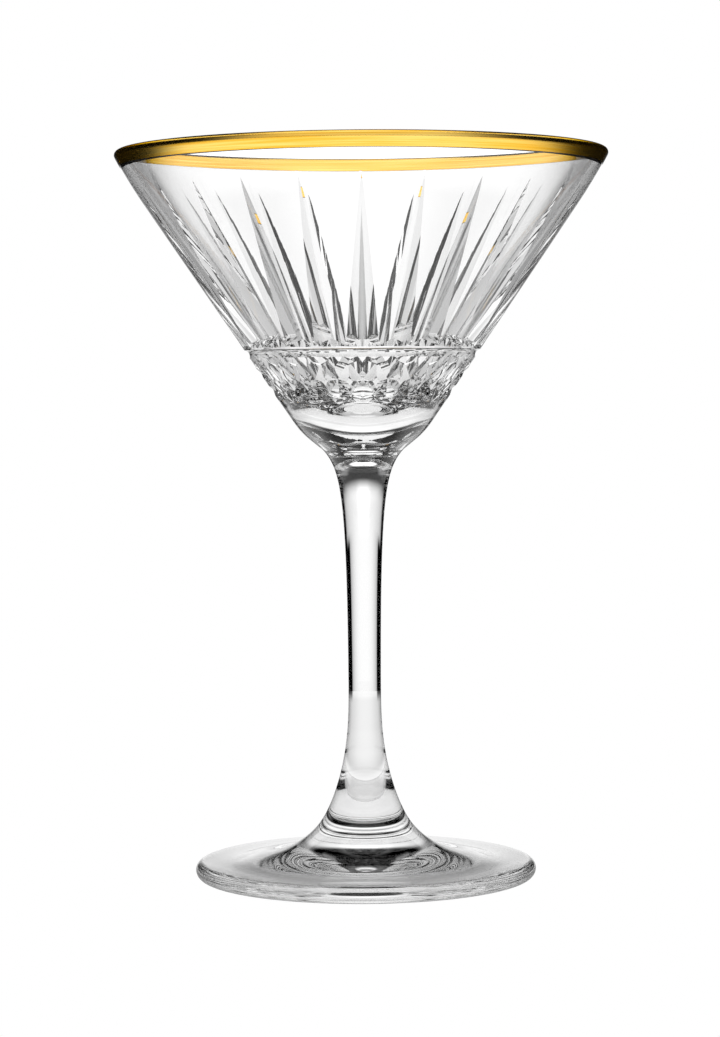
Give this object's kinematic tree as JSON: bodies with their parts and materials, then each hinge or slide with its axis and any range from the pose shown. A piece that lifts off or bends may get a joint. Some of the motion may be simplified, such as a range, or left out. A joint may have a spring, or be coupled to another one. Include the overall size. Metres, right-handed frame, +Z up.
{
  "type": "martini glass",
  "caption": "Stemmed cocktail glass with a wide conical bowl, pressed long cuts and a diamond band, a slim waisted stem, a round foot and a gold rim.",
  "frame": {"origin": "on the glass's axis, at the surface it stands on, under the middle of the foot", "axes": "+Z up along the axis of the bowl, stem and foot; one long cut faces -Y"},
  "size_m": [0.1162, 0.1162, 0.1718],
  "materials": {
    "bowl_glass": "clear pressed glass, fire polished",
    "stem_glass": "clear solid glass, fire polished",
    "foot_glass": "clear pressed glass, fire polished",
    "rim_gold": "burnished fired-on gold with fine brush streaks"
  },
  "bodies": {
    "root": {"bowl": "bowl_glass", "stem": "stem_glass", "foot": "foot_glass", "gold_band": "rim_gold"}
  },
  "joints": []
}
